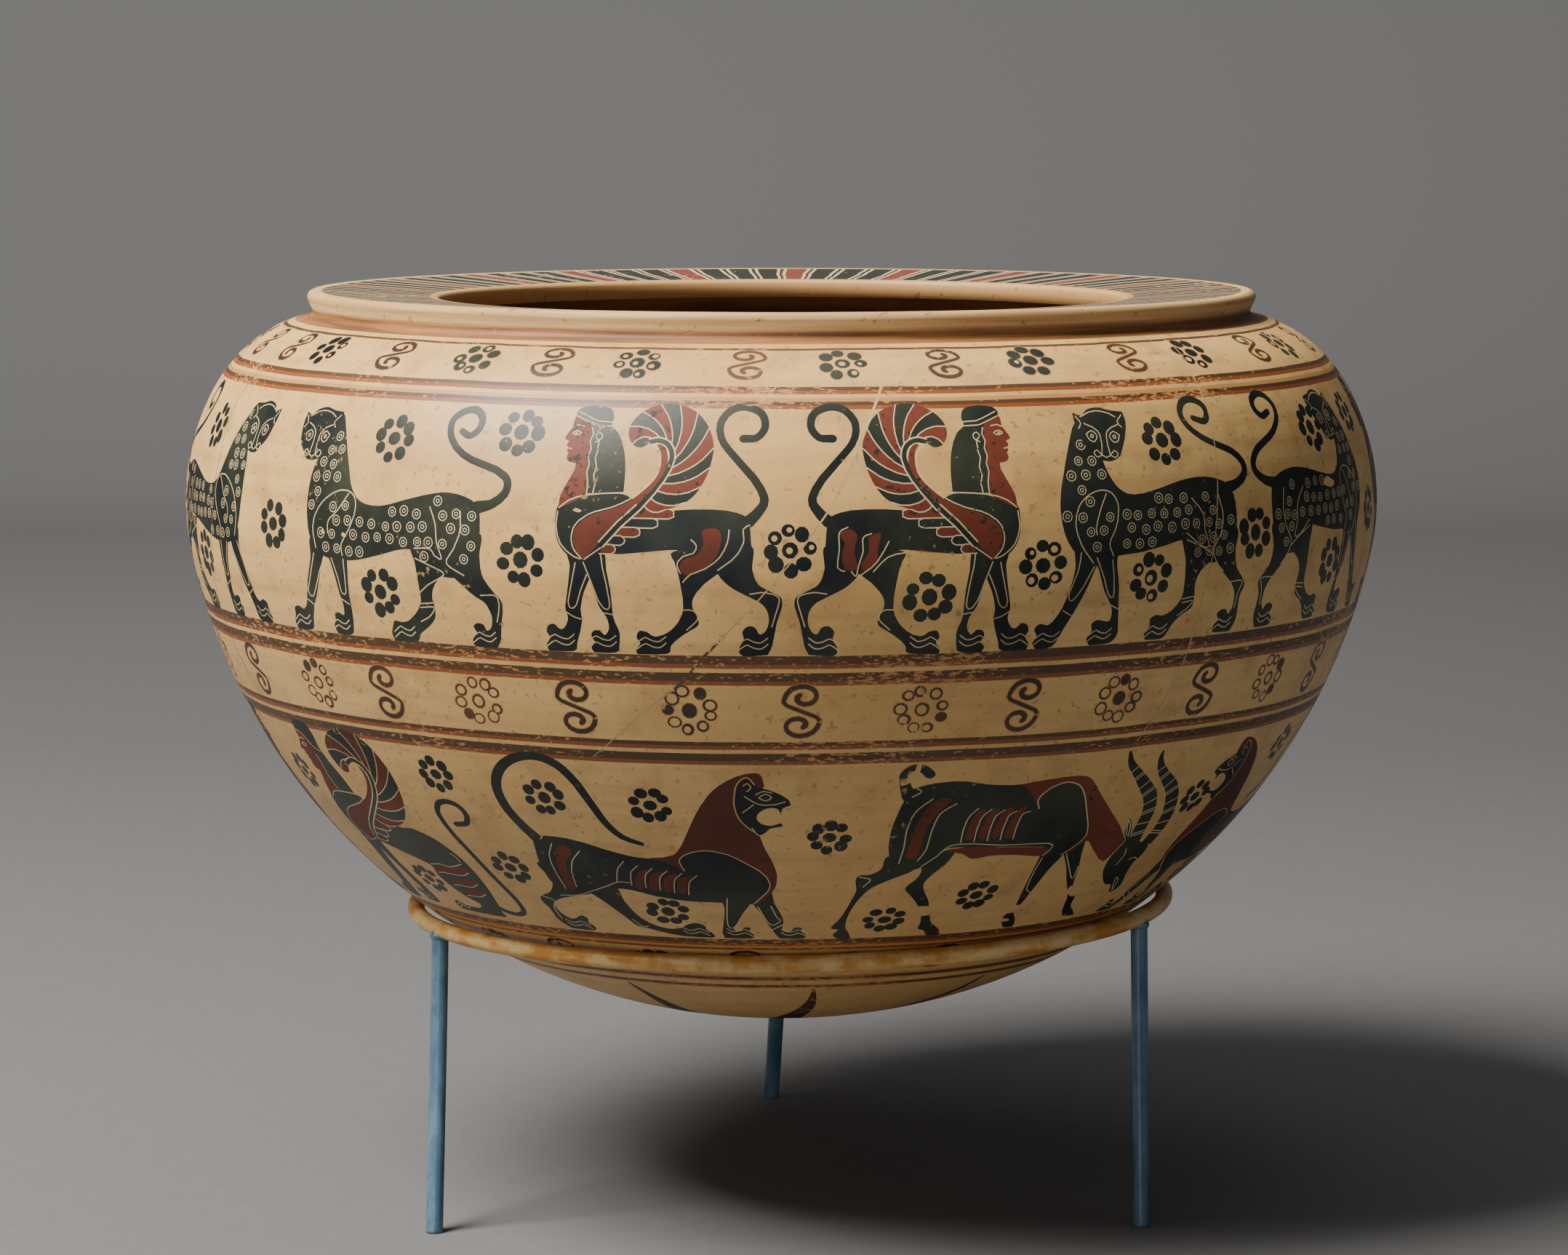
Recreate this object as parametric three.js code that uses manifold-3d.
// A large painted clay mixing bowl, round below, with a broad flat rim. It rests in a modern ring
// stand: a ring of steel rod carried by three legs of the same rod.
// Millimetres, +Z up. The origin is on the floor under the middle of the bowl. Its front faces -Y.
import * as THREE from "three";
import { mergeVertices } from "three/addons/utils/BufferGeometryUtils.js";
import Module from "manifold-3d";

const wasm = await Module();
wasm.setup();
const { sin, cos, asin, acos, tan, hypot, PI } = Math;
const rad = THREE.MathUtils.degToRad;

// The bowl's wall, outside. It is a chain of arcs that run into each other: shoulder, belly, side
// and bottom. Each turn is the angle from straight up at which an arc hands over to the next.
const bowlDiameter = 450;
const bellyCurve = 87.5;
const sideCurve = 223.6;
const footTurn = rad(18.24); // where the shoulder comes out from under the rim
const shoulderTurn = rad(58.5);
const bellyTurn = rad(101.4);
const sideTurn = rad(167.3);
const wallThickness = 9;

// The rim, a flat ring of clay laid on the shoulder
const rimDiameter = 357.6;
const mouthDiameter = 258.6;
const rimHeight = 10.6; // above the shoulder line
const rimLedge = 4.6; // from the lip's outside out to the shoulder line
const lipRound = 2.4; // radius of the lip's outer edge
const waistDepth = 2.2; // how far the rim draws in under the lip
const waistHeight = 2.8; // of that waist, above the shoulder line
const mouthDrop = 2.7; // the mouth's edge lies this much lower than the lip
const mouthRound = 1.8; // radius of the mouth's edge
const mouthEdge = 7; // height of the clay at the mouth's edge

// The stand
const rodDiameter = 6.35;
const ringDiameter = 282.6; // front to back, middle of the rod
const ringOval = 4; // the ring is this much wider from side to side
const ringTilt = rad(1.02); // its right side stands a little higher
const ringHeight = 111.9; // middle of the rod above the floor
const seatGap = 0.3; // between the bowl and the ring
const weldGap = 0.3; // between a leg's top and the ring
const legSplay = 11.2; // the feet stand this much further out than the ring
const footBend = 5; // height over which a leg turns upright at its foot
const kneeBend = 16; // the same at its top
// Each leg leaves the ring at one angle and stands at another, counted from the front to the right.
const legs = [
  { name: "stand_leg_left", leaves: rad(-65.5), stands: rad(-57.3) },
  { name: "stand_leg_right", leaves: rad(64.9), stands: rad(61.5) },
  { name: "stand_leg_back", leaves: rad(180.6), stands: rad(181.6) },
];

// How finely round shapes are cut into flats
const outsideSag = 0.28;
const insideSag = 0.5;
const edgeSag = 0.18;
const turnSides = 66;
const ringSides = 72;
const rodSides = 10;
const legSteps = 12;

// Materials
const finish = (color, roughness, metalness) =>
  new THREE.MeshStandardMaterial({ color, roughness, metalness });
const paintedClay = finish(0xd9bd8c, 0.45, 0);
const ochrePaint = finish(0xc98f45, 0.6, 0);
const bluePaint = finish(0x4f7484, 0.4, 0);

// Points of an arc about (r, z); angles are counted from straight up towards the outside.
function arcPoints(arc, sag) {
  const { r, z, radius, from, to } = arc;
  const widest = 2 * acos(1 - Math.min(sag / radius, 1));
  const count = Math.max(1, Math.ceil(Math.abs(to - from) / widest));
  return Array.from({ length: count + 1 }, (_, i) => {
    const a = from + ((to - from) * i) / count;
    return new THREE.Vector2(r + radius * sin(a), z + radius * cos(a));
  });
}

// The shoulder arc runs from the rim's foot to the belly arc, and its radius follows from both.
const footRadius = rimDiameter / 2 + rimLedge;
const bellyMiddle = bowlDiameter / 2 - bellyCurve;
const shoulderCurve =
  (bellyMiddle + bellyCurve * sin(shoulderTurn) - footRadius) / (sin(shoulderTurn) - sin(footTurn));

// The wall's arcs, drawn in by an inset from the outside. Height 0 is the middle of the belly arc.
function wallArcs(inset) {
  const belly = { r: bellyMiddle, z: 0 };
  const beside = (radius, turn) => ({
    r: belly.r + (bellyCurve - radius) * sin(turn),
    z: belly.z + (bellyCurve - radius) * cos(turn),
  });
  const side = beside(sideCurve, bellyTurn);
  const bottomCurve = sideCurve + side.r / sin(sideTurn);
  const bottom = { r: 0, z: side.z + (sideCurve - bottomCurve) * cos(sideTurn) };
  const shoulder = beside(shoulderCurve, shoulderTurn);
  return [
    { ...shoulder, radius: shoulderCurve - inset, from: footTurn, to: shoulderTurn },
    { ...belly, radius: bellyCurve - inset, from: shoulderTurn, to: bellyTurn },
    { ...side, radius: sideCurve - inset, from: bellyTurn, to: sideTurn },
    { ...bottom, radius: bottomCurve - inset, from: sideTurn, to: PI },
  ];
}

function wallPoints(inset, sag) {
  return wallArcs(inset).flatMap((arc, i) => arcPoints(arc, sag).slice(i ? 1 : 0));
}

// The bowl's section, from the outside of the bottom, over the rim, to the inside of the bottom
function bowlProfile() {
  const outer = wallPoints(0, outsideSag).reverse();
  const inner = wallPoints(wallThickness, insideSag);
  const foot = outer.at(-1);
  const lip = rimDiameter / 2;
  const top = foot.y + rimHeight;
  const waist = new THREE.Vector2(lip - waistDepth, foot.y + waistHeight);
  const hollow = new THREE.QuadraticBezierCurve(
    foot,
    new THREE.Vector2(waist.x, foot.y),
    waist,
  ).getPoints(4);
  const lipEdge = arcPoints(
    { r: lip - lipRound, z: top - lipRound, radius: lipRound, from: rad(100), to: 0 },
    edgeSag,
  );
  const mouth = mouthDiameter / 2;
  const mouthArc = {
    r: mouth + mouthRound,
    z: top - mouthDrop - mouthRound,
    radius: mouthRound,
    from: 0,
    to: rad(-90),
  };
  const under = new THREE.Vector2(mouth, top - mouthDrop - mouthEdge);
  return [
    ...outer,
    ...hollow.slice(1),
    ...lipEdge,
    ...arcPoints(mouthArc, edgeSag),
    under,
    ...inner,
  ];
}

// Turns a profile round +Z.
function turned(profile, sides) {
  const onAxis = profile.map((p) => new THREE.Vector2(p.x < 1e-9 ? 0 : p.x, p.y));
  return new THREE.LatheGeometry(onAxis, sides).rotateX(PI / 2);
}

// Where a rod of the ring's size touches the wall from below: the height at which a rod bent to
// that circle rests, and the place on the axis that the wall's normal there points to
const seat = (() => {
  const clear = rodDiameter / 2 + seatGap;
  const target = ringDiameter / 2;
  const below = wallArcs(0).filter((a) => a.to > PI / 2);
  const arc = below.find((a) => a.r + (a.radius + clear) * sin(a.to) < target);
  const from = asin((target - arc.r) / (arc.radius + clear));
  const angle = PI - from;
  const height = arc.z + (arc.radius + clear) * cos(angle);
  return { height, pivot: height + target / tan(from) };
})();
const bowlLift = ringHeight - seat.height;

// The ring's own frame: it hangs from the pivot and is turned about it by its tilt.
const pivotHeight = bowlLift + seat.pivot;
const ringFrame = new THREE.Group();
ringFrame.position.z = pivotHeight;
ringFrame.rotation.y = -ringTilt;
ringFrame.updateMatrixWorld();

function ringGeometry(thickness) {
  const round = Array.from({ length: rodSides + 1 }, (_, i) => {
    const a = -(2 * PI * (i % rodSides)) / rodSides;
    return new THREE.Vector2(
      ringDiameter / 2 + (thickness / 2) * cos(a),
      (thickness / 2) * sin(a) + seat.height - seat.pivot,
    );
  }).reverse();
  return turned(round, ringSides).scale(1 + ringOval / ringDiameter, 1, 1);
}

// A point on the middle of the ring's rod, in the part's frame
function ringPoint(angle) {
  const place = new THREE.Vector3(
    (ringDiameter / 2) * (1 + ringOval / ringDiameter) * sin(angle),
    (-ringDiameter / 2) * cos(angle),
    seat.height - seat.pivot,
  );
  return place.applyMatrix4(ringFrame.matrixWorld);
}

function solidOf(geometry) {
  const bare = geometry.clone();
  bare.deleteAttribute("normal");
  bare.deleteAttribute("uv");
  const merged = mergeVertices(bare, 1e-4);
  return new wasm.Manifold(
    new wasm.Mesh({
      numProp: 3,
      vertProperties: merged.attributes.position.array,
      triVerts: new Uint32Array(merged.index.array),
    }),
  );
}

function geometryOf(solid) {
  const { vertProperties, triVerts } = solid.getMesh();
  const made = new THREE.BufferGeometry();
  made.setAttribute("position", new THREE.BufferAttribute(vertProperties, 3));
  made.setIndex(new THREE.BufferAttribute(triVerts, 1));
  made.computeVertexNormals();
  return made;
}

const round = new THREE.Shape(
  Array.from({ length: rodSides }, (_, i) => {
    const a = (2 * PI * i) / rodSides;
    return new THREE.Vector2((rodDiameter / 2) * cos(a), (rodDiameter / 2) * sin(a));
  }),
);

// A leg is cut flat where it stands and is shaped to the ring at its top.
function legGeometry({ leaves, stands }, cutter) {
  const out = ringDiameter / 2 + legSplay;
  const foot = new THREE.Vector3(out * sin(stands), -out * cos(stands), 0);
  const top = ringPoint(leaves);
  const path = new THREE.CubicBezierCurve3(
    foot,
    foot.clone().setZ(footBend),
    top.clone().setZ(top.z - kneeBend),
    top,
  );
  const rod = new THREE.ExtrudeGeometry(round, {
    steps: legSteps,
    bevelEnabled: false,
    extrudePath: path,
  });
  return geometryOf(solidOf(rod).subtract(cutter));
}

const part = new THREE.Group();
function add(name, geometry, material, parent = part) {
  const mesh = new THREE.Mesh(geometry, material);
  mesh.name = name;
  parent.add(mesh);
  return mesh;
}

add("bowl", turned(bowlProfile(), turnSides), paintedClay).position.z = bowlLift;
part.add(ringFrame);
add("stand_ring", ringGeometry(rodDiameter), ochrePaint, ringFrame);
const room = ringGeometry(rodDiameter + 2 * weldGap).applyMatrix4(ringFrame.matrixWorld);
const cutter = solidOf(room);
for (const leg of legs) add(leg.name, legGeometry(leg, cutter), bluePaint);

export default part;
